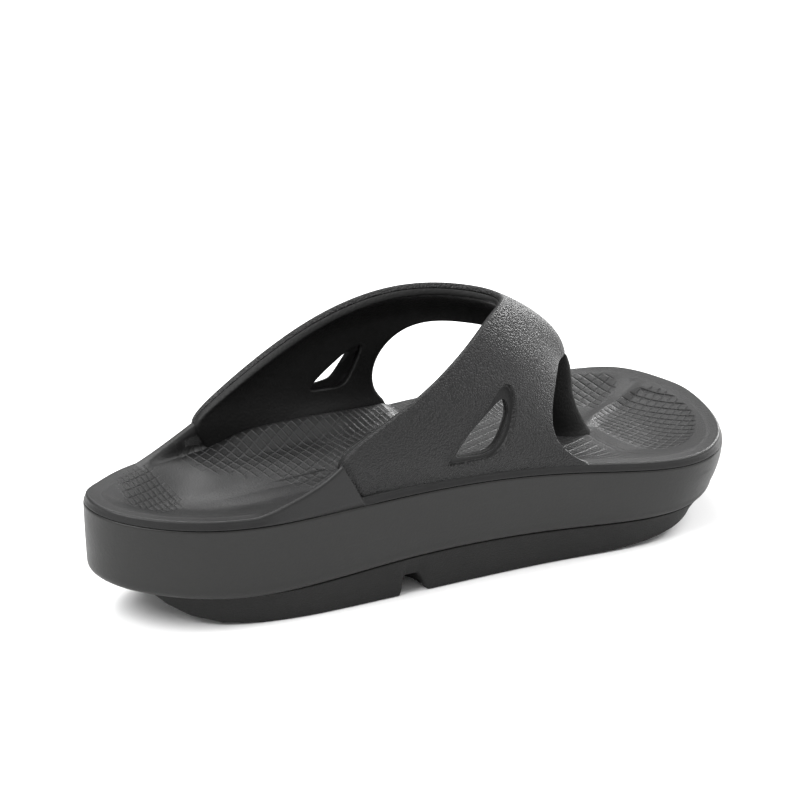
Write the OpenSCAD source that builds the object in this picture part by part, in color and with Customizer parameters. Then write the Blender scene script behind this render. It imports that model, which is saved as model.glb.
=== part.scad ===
// Right-foot thong sandal in moulded foam: a thick sole in three bonded layers,
// a one-piece strap over the instep, its lining, and a post between the toes.
// +X points to the toe, +Y to the inner (big toe) side, +Z up; Z = 0 is the ground.

/* [Sole] */
// Length of the sole from heel to toe
sole_length = 285; // [260:1:300]
// Greatest width of the sole, across the ball of the foot
sole_width = 105; // [96:1:112]
// Height of the rim band that runs round the top edge of the footbed
rim_height = 4; // [2:0.5:6]
// How far the rim band leans inwards at its top
rim_lean = 1.5; // [0.5:0.5:3]
// Depth of the foot dish below the rim at the heel
heel_dish = 8; // [5:0.5:10]
// Depth of the foot dish below the rim at the toes
toe_dish = 6; // [4:0.5:8]
// Thickness of the footbed layer under the foot
footbed_thickness = 6; // [4:0.5:8]
// How high the sole's ground line lifts at the toe
toe_spring = 15; // [8:1:18]
// Width of the flex groove under the arch
flex_groove_width = 10; // [6:1:14]
// Depth of the flex groove above the ground
flex_groove_depth = 9; // [5:1:10]

/* [Strap] */
// Thickness of the textured outer skin of the strap
strap_skin = 2.4; // [1.8:0.2:3]
// Thickness of the smooth lining under the strap
strap_lining_thickness = 3; // [2:0.2:4]
// How far the strap bulges outwards between its two edges, as a share of its own bulge
strap_bulge = 1; // [0.6:0.1:1.3]

/* [Toe post] */
// Radius of the post's stem where it passes through the footbed
stem_radius = 5; // [4:0.5:6]
// Radius of the flat plug that holds the post in the sole
plug_radius = 10; // [8:0.5:12]
// Thickness of the plug
plug_thickness = 5; // [4:0.5:6]

/* [Hidden] */
$fn = 48;
foam_dark = [0.17, 0.17, 0.17];
foam_side = [0.22, 0.22, 0.22];
sole_dark = [0.12, 0.12, 0.12];

// The shape was drawn on a 285 x 105 sole; these carry it to other sizes
length_scale = sole_length / 285;
width_scale = sole_width / 105;

// Outline of the sole seen from above, from the back of the heel round the outer side
outline_points = [
    [-142.5, 6], [-138.5, -15], [-112, -35], [-73.5, -43], [-27, -45],
    [17.5, -46], [57.5, -49], [98, -52], [124, -39], [137.5, -16],
    [142.5, 12], [138.5, 30], [124, 49], [92, 52.5], [57.5, 48.5],
    [17.5, 41], [-27.5, 35], [-72.5, 36], [-113, 28], [-133, 16.5]
];
// Heights at six even stations from heel to toe
rim_line = [47.4, 44.2, 45.4, 42.8, 35.7, 31.4];
tread_line = [18.2, 13.6, 16.8, 16.2, 13.4, 16.5];
// Samples of the outline between two of its points
outline_steps = 4;
// Where the flat ground line ends and the toe spring starts, and its run
spring_start = 52.5;
spring_run = 90;
// Where the sole starts to draw in towards the toe, and its run
toe_start = 62.5;
toe_run = 80;
sole_draw = 2.1;
toe_draw = 4.6;
outsole_toe_draw = 9;
// How far the outsole's wall stands in from the midsole's, and how much more at the heel
outsole_ledge = 1.5;
heel_draw = 13;
heel_draw_start = -62;
heel_draw_run = 80;
// Heel bevel of the outsole, from the midsole down to the ground
heel_bevel = [[-124, 17.6], [-119, 9.5], [-111, 4.5], [-100, 1.3], [-86, 0]];
flex_groove_x = -27;
flex_groove_skew = 8;
// Width of the level band inside the rim, which the strap stands on
rim_band = 7.5;
dish_rings = [0.25, 0.5, 0.75];
// Half width at which the foot dish reaches its full depth
dish_run_out = 26;

// Strap edges from the outer foot side, over the instep, to the inner side:
// the rear edge, the front edge and the outward bulge halfway between them
strap_rear = [
    [-52.5, -43.3, 65], [-23, -40, 82.3], [6, -32, 97.8], [26, -19, 105.6], [35.5, -5, 106.5],
    [25, 11.5, 106.8], [-0.5, 26, 104.3], [-36, 34.5, 90.5], [-72, 35, 69.5], [-84.5, 34, 58]
];
strap_front = [
    [44.3, -44, 53], [43.8, -37, 64], [53, -24, 74], [61, -13, 75], [67, -4, 75.3],
    [58, 12, 79], [37, 23.5, 84], [14, 32.5, 83.5], [1, 38, 71.2], [-1.3, 38.5, 57.3]
];
strap_swell = [
    [0, -2.5, 0], [0, -4, 1], [0, -4, 2], [0.6, -1.6, 1.8], [1.5, 0, 1.5],
    [1, 2, 2.5], [0, 3.5, 2.5], [0, 4.5, 2], [0, 3, 1], [0, 1, 0]
];
// Roll of the strap's front over the toe post: its size on each line, and its reach at the middle
strap_roll = [0, 0, 0, 0.7, 1, 0.8, 0, 0, 0, 0];
roll_reach = [3, 0, 3];
// Where the strap lands on the rim: rear and front end on the outer and the inner side
outer_landing = [-49, 56];
inner_landing = [-81, 3];
// Where the footbed's wing roots rise out of the rim behind the strap, and their low end
outer_root_x = -86;
inner_root_x = -110;
root_start = 0.8;
root_sink = 1.5;
root_steps = 8;
strap_rows = 12;
strap_steps = 4;

// The strap's two vents, as corners in the side view, and their rounding
outer_vent = [[-4, 59], [8, 56.6], [15.5, 61], [21.3, 70], [20.5, 75.8], [16.5, 75]];
inner_vent = [[-31, 62.5], [-20, 61], [-14.5, 64.5], [-10, 76], [-14, 75.5]];
vent_round = 1.5;

post_x = 76;
post_y = 3;
// The post's top, against the underside of the strap, and the slope that it lies at
post_top = [64.5, 1, 76];
post_slope = 45;

// ---- curves -------------------------------------------------------------
function curve(a, b, c, d, t) =
    0.5 * (2 * b + (c - a) * t + (2 * a - 5 * b + 4 * c - d) * t * t
        + (3 * b - a - 3 * c + d) * t * t * t);
function loop_at(p, t) =
    let (n = len(p), i = floor(t))
    curve(p[(i + n - 1) % n], p[i % n], p[(i + 1) % n], p[(i + 2) % n], t - i);
function path_point(p, i) =
    i < 0 ? 2 * p[0] - p[1]
    : i >= len(p) ? 2 * p[len(p) - 1] - p[len(p) - 2] : p[i];
function path_at(p, t) =
    let (i = min(floor(t), len(p) - 2))
    curve(path_point(p, i - 1), p[i], p[i + 1], path_point(p, i + 2), t - i);
function mix(a, b, t) = a + (b - a) * t;
function clamp01(t) = min(1, max(0, t));

// ---- sole ---------------------------------------------------------------
function height_at(heights, x) =
    path_at(heights, clamp01(x / sole_length + 0.5) * (len(heights) - 1));
function rim_z(x) = height_at(rim_line, x);
function tread_z(x) = height_at(tread_line, x);
function ground_z(x) =
    toe_spring * pow(max(0, (x / length_scale - spring_start) / spring_run), 2);
function toe_share(x) = pow(clamp01((x / length_scale - toe_start) / toe_run), 2);
function sole_inset(x) = sole_draw + toe_draw * toe_share(x);

edge_count = len(outline_points) * outline_steps;
// Half a step round, so that the heel and the toe fall between two points
edge = [for (i = [0 : edge_count - 1])
    let (p = loop_at(outline_points, (i + 0.5) / outline_steps))
    [p[0] * length_scale, p[1] * width_scale]];
function edge_normal(i) =
    let (a = edge[(i + edge_count - 1) % edge_count],
        b = edge[(i + 1) % edge_count],
        d = b - a)
    [-d[1], d[0]] / norm(d);
function inset_point(i, amount) = edge[i] + edge_normal(i) * amount;
function inset_loop(amount) = [for (i = [0 : edge_count - 1]) inset_point(i, amount)];
function drawn_loop(share) =
    [for (i = [0 : edge_count - 1]) inset_point(i, sole_inset(edge[i][0]) * share)];
band_loop = inset_loop(rim_band);
// The spine runs halfway between the two sides; a dish loop lies between band and spine
function spine_point(i) = (band_loop[i] + band_loop[edge_count - 1 - i]) / 2;
function dish_loop(share) =
    [for (i = [0 : edge_count - 1]) mix(band_loop[i], spine_point(i), share)];

function dish_depth(x) = mix(heel_dish, toe_dish, clamp01(x / sole_length + 0.5));
// The dish runs out where the footbed narrows, at both ends
function dish_reach(i) = pow(clamp01(norm(band_loop[i] - spine_point(i)) / dish_run_out), 0.7);
function dish_z(x, share, reach) =
    rim_z(x) + rim_height - dish_depth(x) * reach * (1 - pow(1 - share, 2.2));
function lift(loop, heights) =
    [for (i = [0 : len(loop) - 1]) [loop[i][0], loop[i][1], heights[i]]];
function dish_top(share) =
    let (loop = dish_loop(share))
    lift(loop, [for (i = [0 : edge_count - 1]) dish_z(loop[i][0], share, dish_reach(i))]);
function dish_under(share) =
    [for (p = dish_top(share))
        [p[0], p[1], min(rim_z(p[0]), p[2] - footbed_thickness * clamp01(share * 4))
            - 0.6 * rim_height * clamp01(share * 4) * clamp01(1 - share * 2)]];
rim_foot = lift(edge, [for (p = edge) rim_z(p[0])]);
rim_top = let (loop = inset_loop(rim_lean)) lift(loop, [for (p = edge) rim_z(p[0]) + rim_height]);
// The footbed's underside is the midsole's top, so both use the same loops
bed_under = concat([dish_under(0)], [for (s = dish_rings) dish_under(s)], [dish_under(1)]);
function backwards(list) = [for (i = [len(list) - 1 : -1 : 0]) list[i]];

// A solid from closed loops, the first and the last of them folded flat along the spine
module loop_stack(loops) {
    n = len(loops[0]);
    last = len(loops) - 1;
    function id(r, i) =
        let (k = i % n)
        r * n + ((r == 0 || r == last) ? min(k, n - 1 - k) : k);
    polyhedron(
        points = [for (loop = loops) each loop],
        faces = [for (r = [0 : last - 1]) for (i = [0 : n - 1])
            for (f = [[id(r, i), id(r + 1, i + 1), id(r + 1, i)],
                [id(r, i), id(r, i + 1), id(r + 1, i + 1)]])
            if (f[0] != f[1] && f[1] != f[2] && f[2] != f[0]) f],
        convexity = 6);
}

module footbed() {
    color(foam_dark)
    difference() {
        union() {
            loop_stack(concat(
                [dish_top(1)],
                [for (s = backwards(dish_rings)) dish_top(s)],
                [dish_top(0), rim_top, rim_foot],
                bed_under));
            wing_root(outer_edge, outer_root_x, outer_landing[0], strap_rear[0], 1);
            wing_root(inner_edge, inner_root_x, inner_landing[0],
                strap_rear[len(strap_rear) - 1], -1);
        }
        translate([post_x, post_y, 0])
            cylinder(r = stem_radius, h = sole_length / 4);
    }
}

// The wing root is a fin on the rim that rises to meet the strap's rear edge
module wing_root(side_edge, root_x, land_x, crest, side) {
    thickness = strap_skin + strap_lining_thickness;
    function foot(u) =
        let (x = mix(root_x, land_x, u) * length_scale)
        [x, lookup(x, side_edge), rim_z(x) + rim_height - root_sink];
    function crown(u) =
        let (low = foot(0) + [0, 0, root_sink + root_start],
            top = [crest[0] * length_scale, crest[1] * width_scale, crest[2]],
            p = mix(low, top, u))
        [p[0], mix(lookup(p[0], side_edge), top[1], u * u), p[2] - root_start * sin(180 * u)];
    face = [for (v = [0 : 0.25 : 1])
        [for (i = [0 : root_steps]) mix(foot(i / root_steps), crown(i / root_steps), v)]];
    inside = [for (row = face) [for (p = row) p + [0, side * thickness, 0]]];
    if (side > 0) grid_solid(inside, face);
    else grid_solid(face, inside);
}

module midsole() {
    color(foam_side)
    difference() {
        loop_stack(concat(
            backwards(bed_under),
            [rim_foot],
            [for (u = [0.35, 0.7, 1])
                let (loop = drawn_loop(pow(u, 2.2)))
                lift(loop, [for (p = edge) mix(rim_z(p[0]), tread_z(p[0]), u)])],
            [let (loop = [for (i = [0 : edge_count - 1]) spine_point(i)])
                lift(loop, [for (p = loop) tread_z(p[0])])]));
        translate([post_x, post_y, plug_z()])
            cylinder(r = plug_radius, h = sole_length / 4);
    }
}

module outsole() {
    top_x = [for (i = [0 : edge_count / 2 - 1]) edge[i][0]];
    front = sole_length / 2 - sole_draw - toe_draw;
    ground_end = front - outsole_toe_draw;
    wall = [for (i = [0 : edge_count - 1])
        inset_point(i, sole_inset(edge[i][0]) + outsole_ledge
            + heel_draw * pow(clamp01((heel_draw_start - edge[i][0] / length_scale) / heel_draw_run), 1.5))];
    side = concat(
        [for (p = heel_bevel) [p[0] * length_scale, p[1]]],
        [for (x = [spring_start * length_scale : 8 : ground_end]) [x, ground_z(x)]],
        [[ground_end, ground_z(ground_end)], [front, tread_z(front)]],
        [for (x = backwards(top_x)) if (x < front - 1 && x > (heel_bevel[0][0] + 2) * length_scale) [x, tread_z(x)]]);
    color(sole_dark)
    difference() {
        intersection() {
            linear_extrude(height = sole_width) polygon(wall);
            rotate([90, 0, 0])
                translate([0, 0, -sole_width])
                linear_extrude(height = 2 * sole_width) polygon(side);
        }
        translate([flex_groove_x, 0, 0])
            rotate([90, 0, flex_groove_skew])
            translate([0, 0, -sole_width])
            linear_extrude(height = 2 * sole_width)
            polygon([[-flex_groove_width / 2 - 1, -1], [flex_groove_width / 2 + 2, -1],
                [flex_groove_width / 2, flex_groove_depth - 2], [flex_groove_width / 2 - 3, flex_groove_depth],
                [-flex_groove_width / 2, flex_groove_depth]]);
    }
}

// ---- strap --------------------------------------------------------------
outer_edge = [for (i = [0 : edge_count / 2 - 1]) inset_point(i, rim_lean)];
inner_edge = [for (i = [edge_count - 1 : -1 : edge_count / 2]) inset_point(i, rim_lean)];
// The strap's foot on the rim, at a share of the way from its rear to its front end
function landing(side_edge, ends, w) =
    let (x = mix(ends[0], ends[1], w) * length_scale)
    [x, lookup(x, side_edge), rim_z(x) + rim_height];
function strap_line(i, w) =
    let (p = mix(strap_rear[i], strap_front[i], w) + strap_swell[i] * strap_bulge * 4 * w * (1 - w)
        + roll_reach * strap_roll[i] * w * (1 - pow(w, 5)))
    [p[0] * length_scale, p[1] * width_scale, p[2]];
function strap_column(w) = concat(
    [landing(outer_edge, outer_landing, w)],
    [for (i = [0 : len(strap_rear) - 1]) strap_line(i, w)],
    [landing(inner_edge, inner_landing, w)]);
strap_face = [for (r = [0 : strap_rows])
    let (column = strap_column(r / strap_rows), spans = len(column) - 1)
    [for (c = [0 : spans * strap_steps]) path_at(column, c / strap_steps)]];
strap_columns = len(strap_face[0]);
function clip(i, n) = min(max(i, 0), n - 1);
function strap_normal(r, c) =
    let (a = strap_face[clip(r + 1, strap_rows + 1)][c] - strap_face[clip(r - 1, strap_rows + 1)][c],
        b = strap_face[r][clip(c + 1, strap_columns)] - strap_face[r][clip(c - 1, strap_columns)],
        n = cross(a, b),
        // on the rim the strap's thickness lies level, so that it stands flat
        flat_foot = (c == 0 || c == strap_columns - 1) ? [n[0], n[1], 0] : n)
    flat_foot / norm(flat_foot);
function strap_offset(depth) = [for (r = [0 : strap_rows])
    [for (c = [0 : strap_columns - 1]) strap_face[r][c] - strap_normal(r, c) * depth]];

// A solid between two grids of points that face each other
module grid_solid(top, under) {
    rows = len(top);
    columns = len(top[0]);
    half = rows * columns;
    function id(r, c) = r * columns + c;
    rim = concat(
        [for (c = [0 : columns - 2]) [id(0, c), id(0, c + 1)]],
        [for (r = [0 : rows - 2]) [id(r, columns - 1), id(r + 1, columns - 1)]],
        [for (c = [columns - 1 : -1 : 1]) [id(rows - 1, c), id(rows - 1, c - 1)]],
        [for (r = [rows - 1 : -1 : 1]) [id(r, 0), id(r - 1, 0)]]);
    polyhedron(
        points = concat([for (row = top) each row], [for (row = under) each row]),
        faces = concat(
            [for (r = [0 : rows - 2]) for (c = [0 : columns - 2])
                each [[id(r, c), id(r, c + 1), id(r + 1, c + 1)],
                    [id(r, c), id(r + 1, c + 1), id(r + 1, c)]]],
            [for (r = [0 : rows - 2]) for (c = [0 : columns - 2])
                each [[half + id(r, c), half + id(r + 1, c + 1), half + id(r, c + 1)],
                    [half + id(r, c), half + id(r + 1, c), half + id(r + 1, c + 1)]]],
            [for (e = rim) each [[e[1], e[0], half + e[0]], [e[1], half + e[0], half + e[1]]]]),
        convexity = 8);
}

// A vent's cutter, reaching outwards from the sandal's middle on one side
module vent_cut(corners, side) {
    rotate([90, 0, 0])
        translate([0, 0, side > 0 ? -sole_width : 0])
        linear_extrude(height = sole_width)
        scale([length_scale, 1])
        offset(r = vent_round, $fn = 16) offset(delta = -vent_round) polygon(corners);
}

module strap_layer(from_depth, to_depth) {
    difference() {
        grid_solid(strap_offset(from_depth), strap_offset(to_depth));
        vent_cut(outer_vent, -1);
        vent_cut(inner_vent, 1);
    }
}

module strap() {
    color(foam_side) strap_layer(0, strap_skin);
}

module strap_lining() {
    color(foam_dark) strap_layer(strap_skin, strap_skin + strap_lining_thickness);
}

// ---- toe post -----------------------------------------------------------
function post_bed_z() = rim_z(post_x) + rim_height - dish_depth(post_x);
function plug_z() = post_bed_z() - footbed_thickness - plug_thickness - 1;

// One level slice of the post, longer fore and aft than it is wide
module post_slice(length, width) {
    scale([length, width, 1]) cylinder(r = 1, h = 1, $fn = 24);
}

module post_foot() {
    translate([post_x - 2, post_y, post_bed_z() - 0.5])
        post_slice(8, stem_radius);
}

module post_waist() {
    translate([post_x - 7.5, post_y - 1, mix(post_bed_z(), post_top[2], 0.45)])
        post_slice(6.5, stem_radius - 1);
}

module post_head() {
    translate(post_top) rotate([0, post_slope, 0]) post_slice(8.5, stem_radius);
}

module toe_post() {
    color(foam_dark)
    union() {
        translate([post_x, post_y, plug_z()])
            cylinder(r = plug_radius, h = plug_thickness);
        translate([post_x, post_y, plug_z()])
            cylinder(r = stem_radius, h = post_bed_z() + 2 - plug_z());
        hull() {
            post_foot();
            post_waist();
        }
        hull() {
            post_waist();
            post_head();
        }
    }
}

footbed();
midsole();
outsole();
strap();
strap_lining();
toe_post();
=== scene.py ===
# %% [markdown]
# # A thong sandal in moulded foam
# This sandal has no fasteners. It is a few mouldings bonded face to face: a footbed, a deep midsole,
# an outsole, a strap with its lining, and a post between the toes. Everything here is drawn in
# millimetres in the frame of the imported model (+X to the toe, +Y to the big toe's side, +Z up) and
# turned into metres only when a mesh is made.
# %% Load the fixed frame
import math

import bmesh
import bpy
import numpy as np
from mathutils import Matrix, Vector


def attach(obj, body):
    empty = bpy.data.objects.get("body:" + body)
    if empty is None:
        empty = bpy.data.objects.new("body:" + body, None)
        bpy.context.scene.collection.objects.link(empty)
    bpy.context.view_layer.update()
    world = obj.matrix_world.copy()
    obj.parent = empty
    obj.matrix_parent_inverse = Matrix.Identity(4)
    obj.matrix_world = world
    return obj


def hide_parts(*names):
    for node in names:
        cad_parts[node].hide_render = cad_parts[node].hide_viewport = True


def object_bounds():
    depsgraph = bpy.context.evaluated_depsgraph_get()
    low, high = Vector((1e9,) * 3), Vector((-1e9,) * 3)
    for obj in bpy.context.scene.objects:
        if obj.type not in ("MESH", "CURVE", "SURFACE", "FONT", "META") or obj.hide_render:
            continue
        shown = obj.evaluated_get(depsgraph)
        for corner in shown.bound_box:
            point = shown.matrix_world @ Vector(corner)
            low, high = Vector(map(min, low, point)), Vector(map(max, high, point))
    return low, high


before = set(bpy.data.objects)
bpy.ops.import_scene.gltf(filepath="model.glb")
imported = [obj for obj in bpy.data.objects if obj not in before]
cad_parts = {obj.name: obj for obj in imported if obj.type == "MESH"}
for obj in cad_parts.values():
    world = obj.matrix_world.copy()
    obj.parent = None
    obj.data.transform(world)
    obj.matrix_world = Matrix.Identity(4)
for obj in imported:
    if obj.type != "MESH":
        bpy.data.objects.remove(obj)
cad_low, cad_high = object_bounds()
SOLE_LENGTH, SOLE_WIDTH, SANDAL_HEIGHT = [(b - a) * 1000 for a, b in zip(cad_low, cad_high)]
print(f"sandal {SOLE_LENGTH:.1f} x {SOLE_WIDTH:.1f} x {SANDAL_HEIGHT:.1f} mm")

# %% [markdown]
# ## Curves and closed skins
# Two helpers carry the whole model. `smooth` runs one curve with even curvature through a few chosen
# points, so an outline needs only the points that its shape needs. `skin` turns a grid of points into a
# mesh: each row of the grid is a closed loop, and the rows are stitched to each other.
# %% Curve and mesh helpers
MM = 0.001


def smooth(points, at, closed=False):
    """Values at the places `at` (0 = first point, 1 = second ...) on a smooth curve through the points."""
    p = np.asarray(points, float)
    n = len(p)
    flat = p.reshape(n, -1)
    system = 4 * np.eye(n) + np.eye(n, k=1) + np.eye(n, k=-1)
    right = 3 * (np.roll(flat, -1, 0) - np.roll(flat, 1, 0))
    if closed:
        system[0, -1] = system[-1, 0] = 1
    else:
        system[0, 0] = system[-1, -1] = 2
        right[0] = 3 * (flat[1] - flat[0])
        right[-1] = 3 * (flat[-1] - flat[-2])
    slope = np.linalg.solve(system, right)
    t = np.asarray(at, float)
    i = np.floor(t).astype(int)
    i = i % n if closed else np.clip(i, 0, n - 2)
    f = (t - np.floor(t) if closed else t - i)[:, None]
    j = (i + 1) % n
    value = (flat[i] * (1 + 2 * f) * (1 - f) ** 2 + slope[i] * f * (1 - f) ** 2
             + flat[j] * f * f * (3 - 2 * f) + slope[j] * f * f * (f - 1))
    return value.reshape((len(t),) + p.shape[1:])


def step(low, high, value):
    """0 below low, 1 above high, and a soft ramp between them."""
    t = np.clip((value - low) / (high - low), 0, 1)
    return t * t * (3 - 2 * t)


def new_object(name, points_mm, faces):
    mesh = bpy.data.meshes.new(name)
    mesh.from_pydata((np.asarray(points_mm) * MM).tolist(), [], faces)
    mesh.polygons.foreach_set("use_smooth", [True] * len(mesh.polygons))
    piece = bpy.data.objects.new(name, mesh)
    bpy.context.scene.collection.objects.link(piece)
    return piece


def tidy(piece, merge_mm=0.002):
    """Merges doubles, drops faces with no area and turns every normal outwards."""
    work = bmesh.new()
    work.from_mesh(piece.data)
    bmesh.ops.remove_doubles(work, verts=work.verts, dist=merge_mm * MM)
    bmesh.ops.dissolve_degenerate(work, edges=work.edges, dist=merge_mm * MM / 4)
    bmesh.ops.recalc_face_normals(work, faces=work.faces)
    work.to_mesh(piece.data)
    work.free()
    print(f"{piece.name}: {len(piece.data.polygons)} faces")
    return piece


def skin(name, loops, ends="none"):
    """A mesh from a (rows, points, 3) grid whose rows are closed loops; ends can be capped."""
    grid = np.asarray(loops, float)
    rows, n = grid.shape[:2]
    start = (np.arange(rows - 1)[:, None] * n + np.arange(n)).ravel()
    turn = (np.arange(rows - 1)[:, None] * n + (np.arange(n) + 1) % n).ravel()
    faces = np.column_stack([start, turn, turn + n, start + n]).tolist()
    if ends == "capped":
        faces += [list(range(n)), list(range((rows - 1) * n, rows * n))]
    return new_object(name, grid.reshape(-1, 3), faces)


# %% [markdown]
# ## One way to write node trees
# A wrapped socket lets node maths read like ordinary sums: `mask * 0.4 + 0.6` adds the Math nodes. Any
# other node comes from `Plan.add`, which takes the node's type, then its settings, then its sockets. The
# same two classes serve materials and Geometry Nodes.
# %% Node helpers


class Value:
    """A socket that sums and products can be taken of."""

    def __init__(self, plan, socket):
        self.plan, self.socket = plan, socket

    def sum(self, operation, *others):
        return self.plan.add("ShaderNodeMath", {"operation": operation},
                             dict(enumerate((self,) + others)))[0]

    def __add__(self, other):
        return self.sum("ADD", other)

    def __sub__(self, other):
        return self.sum("SUBTRACT", other)

    def __mul__(self, other):
        return self.sum("MULTIPLY", other)

    def __truediv__(self, other):
        return self.sum("DIVIDE", other)

    def __rsub__(self, other):
        return self.plan.add("ShaderNodeMath", {"operation": "SUBTRACT"}, {0: other, 1: self})[0]

    __radd__ = __add__
    __rmul__ = __mul__


class Made:
    """The outputs of a node, by name or by number."""

    def __init__(self, plan, node):
        self.plan, self.node = plan, node

    def __getitem__(self, key):
        return Value(self.plan, self.node.outputs[key])


class Plan:
    def __init__(self, tree):
        self.tree = tree

    def add(self, kind, settings=None, sockets=None):
        node = self.tree.nodes.new(kind)
        for key, value in (settings or {}).items():
            setattr(node, key, value)
        for key, value in (sockets or {}).items():
            if isinstance(value, Value):
                self.tree.links.new(value.socket, node.inputs[key])
            else:
                node.inputs[key].default_value = value
        return Made(self, node)


def shape_tree(name, inputs):
    """A new Geometry Nodes tree with a geometry going in and out and named number inputs."""
    tree = bpy.data.node_groups.new(name, "GeometryNodeTree")
    tree.interface.new_socket("Geometry", in_out="INPUT", socket_type="NodeSocketGeometry")
    for label, value in inputs.items():
        socket = tree.interface.new_socket(label, in_out="INPUT", socket_type="NodeSocketFloat")
        socket.default_value = value
    tree.interface.new_socket("Geometry", in_out="OUTPUT", socket_type="NodeSocketGeometry")
    plan = Plan(tree)
    return plan, plan.add("NodeGroupInput")


def run_tree(piece, plan, result, finish, values):
    """Ends the tree, applies it to the piece once and leaves a plain mesh."""
    real = plan.add("GeometryNodeRealizeInstances", None, {"Geometry": result})[0]
    dressed = plan.add("GeometryNodeSetMaterial", None, {"Geometry": real, "Material": finish})[0]
    plan.add("NodeGroupOutput", None, {"Geometry": dressed})
    modifier = piece.modifiers.new(plan.tree.name, "NODES")
    modifier.node_group = plan.tree
    for item in plan.tree.interface.items_tree:
        if item.in_out == "INPUT" and item.name in values:
            modifier[item.identifier] = values[item.name]
    apply_modifiers(piece)


def apply_modifiers(piece):
    bpy.context.view_layer.update()
    done = bpy.data.meshes.new_from_object(piece.evaluated_get(bpy.context.evaluated_depsgraph_get()))
    piece.modifiers.clear()
    piece.data = done


# %% [markdown]
# ## Finishes
# Everything is the same charcoal foam, and what tells the pieces apart is how the mould's walls were
# finished: satin on the sole, finely pebbled on the strap, smooth inside, and matte on the ground layer.
# The lining and the post take a much darker colour of the same foam, which is painted shade for the
# hollow under the strap. So one recipe makes each finish, from a base colour, a slow drift of tone, a
# grain and its strength. Where a place on a piece differs, a number stored on its points says so: inside
# a net of grooves, whose sunk lines get painted shade and whose raised ribs get painted highlight; on the
# wall beside the strap's inner foot, which gets painted shade; in the smooth frame of a vent; and along
# the strap's joint with the outer root, where the skin gets a painted shadow line.
# %% Foam materials


def foam(name, shade, rough, grain, grain_mm, pebble=0.0, pebble_mm=1.0, scuffs=0.0, net=False):
    """One finish; pebble and scuffs are strengths, and net adds the grooves' fine lines. The net's sunk
    lines get painted shade and its raised ribs painted highlight, the inner root's wall gets painted shade,
    and the pebbled finishes carry the painted shadow line along the strap's joint.
    """
    material = bpy.data.materials.new(name)
    material.use_nodes = True
    material.node_tree.nodes.clear()
    plan = Plan(material.node_tree)
    place = plan.add("ShaderNodeTexCoord")["Object"]

    def noise(size_mm, detail=3.0, rough_share=0.5):
        return plan.add("ShaderNodeTexNoise", None, {
            "Vector": place, "Scale": 1000.0 / size_mm, "Detail": detail, "Roughness": rough_share})[0]

    def number(name):
        return plan.add("ShaderNodeAttribute", {"attribute_name": name})["Fac"]

    drift = noise(60.0) - 0.5
    cloud = noise(9.0, 4.0) - 0.5
    fine = noise(grain_mm, 5.0, 0.6)
    tone = 1.0 + drift * 0.35 + cloud * 0.22 + (fine - 0.5) * 0.25
    height = fine * grain
    if pebble:
        smooth_part = number("vent_frame")
        cells = plan.add("ShaderNodeTexVoronoi", {"feature": "SMOOTH_F1"}, {
            "Vector": place, "Scale": 1000.0 / pebble_mm, "Smoothness": 0.6, "Randomness": 1.0})[0]
        height = (height + (1.0 - cells) * pebble) * (1.0 - smooth_part * 0.9)
        # Painted shadow: the skin darkens along its joint with the outer root, where the root's lip shades
        # it.
        joint = number("painted_joint_shadow")
        tone = (tone - cells * 0.22) * (1.0 - smooth_part * 0.45) * (1.0 - joint * 0.75)
    roughness = rough + cloud * 0.16 + (fine - 0.5) * 0.12
    if scuffs:
        stretch = plan.add("ShaderNodeMapping", None, {"Vector": place, "Scale": (60.0, 200.0, 420.0)})[0]
        streak = plan.add("ShaderNodeTexNoise", None, {"Vector": stretch, "Scale": 1.0, "Detail": 6.0})[0]
        patch = plan.add("ShaderNodeMapRange", {"interpolation_type": "SMOOTHSTEP"}, {
            "Value": streak * 0.6 + noise(34.0) * 0.4, "From Min": 0.58, "From Max": 0.7})[0]
        tone = tone + patch * scuffs
        roughness = roughness + patch * 0.12
    if net:
        def line(name):
            near = (number(name).sum("FRACT") - 0.5).sum("ABSOLUTE")
            return plan.add("ShaderNodeMapRange", {"interpolation_type": "SMOOTHSTEP"}, {
                "Value": near, "From Min": 0.04, "From Max": 0.14, "To Min": 1.0, "To Max": 0.0})[0]

        pressed = number("net_mask")
        lines = line("net_deep").sum("MAXIMUM", line("net_faint") * 0.55) * pressed
        # Painted shade darkens the sunk lines of a net; where the net is pressed below nought, its raised
        # ribs get painted highlight instead.
        tone = tone * (1.0 - lines * 0.6)
        height = height - lines * 1.1
        roughness = roughness + pressed * 0.05
        # Painted shade on the wall inside the inner root, under the strap's inner foot.
        tone = tone * (1.0 - number("painted_wall_shade") * 0.62)
    colour = plan.add("ShaderNodeVectorMath", {"operation": "SCALE"}, {0: shade, "Scale": tone})[0]
    bump = plan.add("ShaderNodeBump", None, {"Height": height, "Strength": 0.8, "Distance": 0.0005})[0]
    shader = plan.add("ShaderNodeBsdfPrincipled", None, {
        "Base Color": colour, "Roughness": roughness, "Normal": bump,
        "Specular IOR Level": 0.3})[0]
    plan.add("ShaderNodeOutputMaterial", None, {"Surface": shader})
    return material


FINISHES = {
    "footbed_foam": foam("footbed_foam", (0.0125, 0.0125, 0.0126), 0.43, 0.35, 0.9, net=True),
    "midsole_foam": foam("midsole_foam", (0.0145, 0.0145, 0.0141), 0.45, 0.25, 1.1, scuffs=0.35),
    "outsole_rubber": foam("outsole_rubber", (0.0085, 0.0085, 0.0082), 0.66, 0.7, 0.6,
                           pebble=0.25, pebble_mm=0.8),
    "strap_skin": foam("strap_skin", (0.0135, 0.0135, 0.0137), 0.44, 0.35, 0.7, pebble=1.2, pebble_mm=0.75),
    # The lining and the post get about a third of the skin's colour: painted shade for the hollow under the
    # strap.
    "lining_foam": foam("lining_foam", (0.004, 0.004, 0.0039), 0.55, 0.4, 0.9, pebble=0.3, pebble_mm=1.1),
}

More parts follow.
